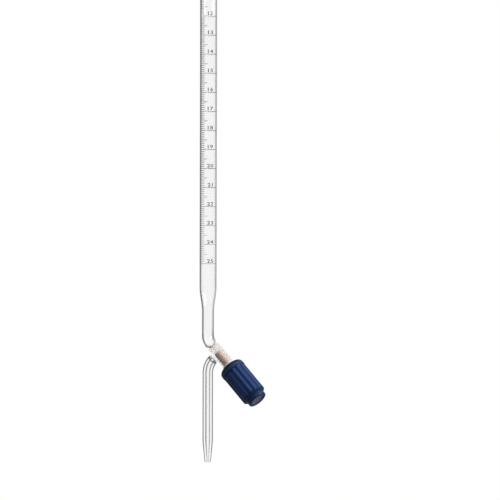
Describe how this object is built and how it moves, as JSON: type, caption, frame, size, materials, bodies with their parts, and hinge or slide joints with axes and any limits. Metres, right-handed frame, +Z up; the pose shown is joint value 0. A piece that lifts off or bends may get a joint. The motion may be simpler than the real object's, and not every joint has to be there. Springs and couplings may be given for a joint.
{
  "type": "burette",
  "caption": "Graduated glass burette with a screw-thread PTFE needle valve set at 45 degrees, a ribbed knob and a bent capillary delivery jet.",
  "frame": {"origin": "on the axis of the graduated tube, at the middle of the place where a burette clamp grips it, 85 mm above the zero line", "axes": "+Z up the axis of the tube, towards the rim; +X towards the side on which the valve's knob sticks out"},
  "size_m": [0.0527, 0.0182, 0.6155],
  "materials": {
    "glass": "clear borosilicate",
    "enamel": "fired enamel lines",
    "ptfe": "turned, waxy",
    "seal": "moulded",
    "washer": "punched",
    "steel": "turned stainless",
    "knob_plastic": "moulded",
    "disc_plastic": "moulded"
  },
  "bodies": {
    "glass": {"graduated_tube": "glass", "graduation_lines": "enamel", "inlet_bend": "glass", "stopcock_barrel": "glass", "outlet_arm": "glass", "delivery_jet": "glass"},
    "key": {"plunger": "ptfe", "seal_ring_front": "seal", "seal_ring_rear": "seal", "thrust_washer": "washer", "retaining_washer": "steel", "retaining_screw": "steel"},
    "knob": {"knob": "knob_plastic", "end_disc": "disc_plastic"}
  },
  "joints": [
    {"name": "key_advance", "type": "slide", "parent": "glass", "child": "key", "axis": [0.7071, 0, -0.7071], "range_m": [0, 0.00502]},
    {"name": "knob_turn", "type": "hinge", "parent": "key", "child": "knob", "pos_m": [0, 0, -0.46943], "axis": [0.7071, 0, -0.7071], "range_deg": [0, 600]}
  ],
  "couplings": [
    {"joint": "key_advance", "follows": "knob_turn", "m_per_rad": 0.00047746}
  ]
}
